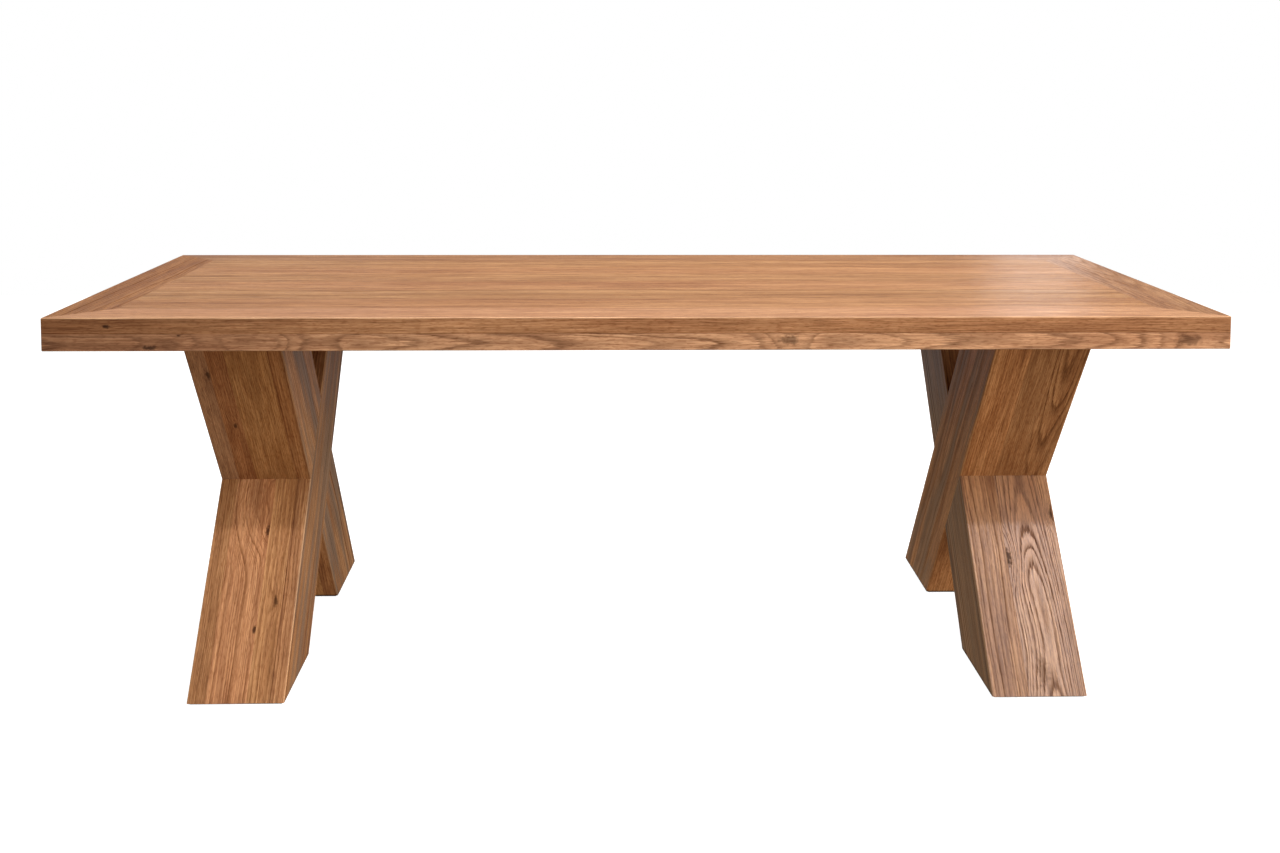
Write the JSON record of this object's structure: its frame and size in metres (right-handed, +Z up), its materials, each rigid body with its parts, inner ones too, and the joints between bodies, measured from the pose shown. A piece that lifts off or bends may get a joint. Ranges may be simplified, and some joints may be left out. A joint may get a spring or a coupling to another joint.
{
  "type": "sawbuck table",
  "caption": "Sawbuck dining table: long framed oak top with a thick doubled edge, carried on trestles of square beams that cross in a halving joint.",
  "frame": {"origin": "on the floor under the middle of the top", "axes": "+X along the table, +Y from the front edge to the back edge, +Z up"},
  "size_m": [2.2, 0.9, 0.753],
  "materials": {
    "oak_top": "clear satin lacquered oak",
    "oak_edge": "clear satin lacquered oak, figured, with small knots",
    "oak_trestle": "clear satin lacquered laminated oak",
    "oak_bearer": "planed oak, unfinished",
    "beech_tongue": "bare beech",
    "zinc_steel": "zinc plated steel",
    "insert_brass": "turned brass",
    "felt": "dark brown pressed felt"
  },
  "bodies": {
    "root": {"back_border": "oak_top", "back_edge_strip": "oak_edge", "back_tongue": "beech_tongue", "bearer_bolts": "zinc_steel", "bolt_washers": "zinc_steel", "centre_batten": "oak_bearer", "front_border": "oak_top", "front_edge_strip": "oak_edge", "front_tongue": "beech_tongue", "infill_stave_1": "oak_top", "infill_stave_2": "oak_top", "infill_stave_3": "oak_top", "infill_stave_4": "oak_top", "infill_stave_5": "oak_top", "infill_stave_6": "oak_top", "left_back_felt_pad": "felt", "left_back_foot_beam_stave_1_lower": "oak_trestle", "left_back_foot_beam_stave_1_upper": "oak_trestle", "left_back_foot_beam_stave_2": "oak_trestle", "left_back_foot_beam_stave_3": "oak_trestle", "left_back_foot_beam_stave_4": "oak_trestle", "left_bearer": "oak_bearer", "left_border": "oak_top", "left_edge_strip": "oak_edge", "left_front_felt_pad": "felt", "left_front_foot_beam_stave_1": "oak_trestle", "left_front_foot_beam_stave_2": "oak_trestle", "left_front_foot_beam_stave_3": "oak_trestle", "left_front_foot_beam_stave_4_lower": "oak_trestle", "left_front_foot_beam_stave_4_upper": "oak_trestle", "left_tongue": "beech_tongue", "mitre_splines": "beech_tongue", "right_back_felt_pad": "felt", "right_back_foot_beam_stave_1": "oak_trestle", "right_back_foot_beam_stave_2": "oak_trestle", "right_back_foot_beam_stave_3_lower": "oak_trestle", "right_back_foot_beam_stave_3_upper": "oak_trestle", "right_bearer": "oak_bearer", "right_border": "oak_top", "right_edge_strip": "oak_edge", "right_front_felt_pad": "felt", "right_front_foot_beam_stave_1_lower": "oak_trestle", "right_front_foot_beam_stave_1_upper": "oak_trestle", "right_front_foot_beam_stave_2": "oak_trestle", "right_front_foot_beam_stave_3": "oak_trestle", "right_tongue": "beech_tongue", "threaded_inserts": "insert_brass"}
  },
  "joints": []
}
